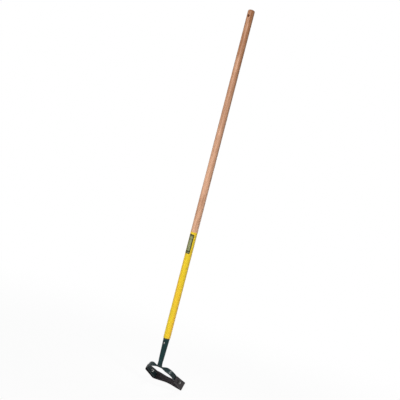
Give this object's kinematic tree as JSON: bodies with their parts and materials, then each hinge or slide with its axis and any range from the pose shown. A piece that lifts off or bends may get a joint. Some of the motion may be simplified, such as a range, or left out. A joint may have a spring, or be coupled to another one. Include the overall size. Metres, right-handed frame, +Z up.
{
  "type": "oscillating hoe",
  "caption": "Long wooden handle in a tapered steel socket, with a forged yoke and a U-shaped weeding blade that swings on two bolts.",
  "frame": {"origin": "middle of the hanging hole, on the handle's axis", "axes": "+Z up the handle to its butt end, +X along the pivot bolts, +Y forward, the side that the head is bent to"},
  "size_m": [0.167, 0.1191, 1.5732],
  "materials": {
    "ash_wood": "satin varnish over ash, with a band of yellow lacquer on its lower third",
    "green_sticker": "plain printed film, olive with a paler panel",
    "green_paint": "half-gloss dark green enamel",
    "blade_steel": "dark oiled spring steel with ground edges",
    "zinc_steel": "zinc plated",
    "nylon": "plain nylon"
  },
  "bodies": {
    "handle_and_yoke": {"handle": "ash_wood", "sticker": "green_sticker", "socket": "green_paint", "socket_screw": "zinc_steel", "yoke": "green_paint", "bolt_left": "zinc_steel", "bolt_right": "zinc_steel", "outer_washer_left": "zinc_steel", "outer_washer_right": "zinc_steel", "bushing_left": "zinc_steel", "bushing_right": "zinc_steel", "spacer_left": "zinc_steel", "spacer_right": "zinc_steel", "inner_washer_left": "zinc_steel", "inner_washer_right": "zinc_steel", "nut_left": "zinc_steel", "nut_right": "zinc_steel", "nut_ring_left": "nylon", "nut_ring_right": "nylon"},
    "swinging_blade": {"blade": "blade_steel"}
  },
  "joints": [
    {"name": "blade_swing", "type": "hinge", "parent": "handle_and_yoke", "child": "swinging_blade", "pos_m": [0, 0.05261, -1.50651], "axis": [1, 0, 0], "range_deg": [-19, 9]}
  ]
}
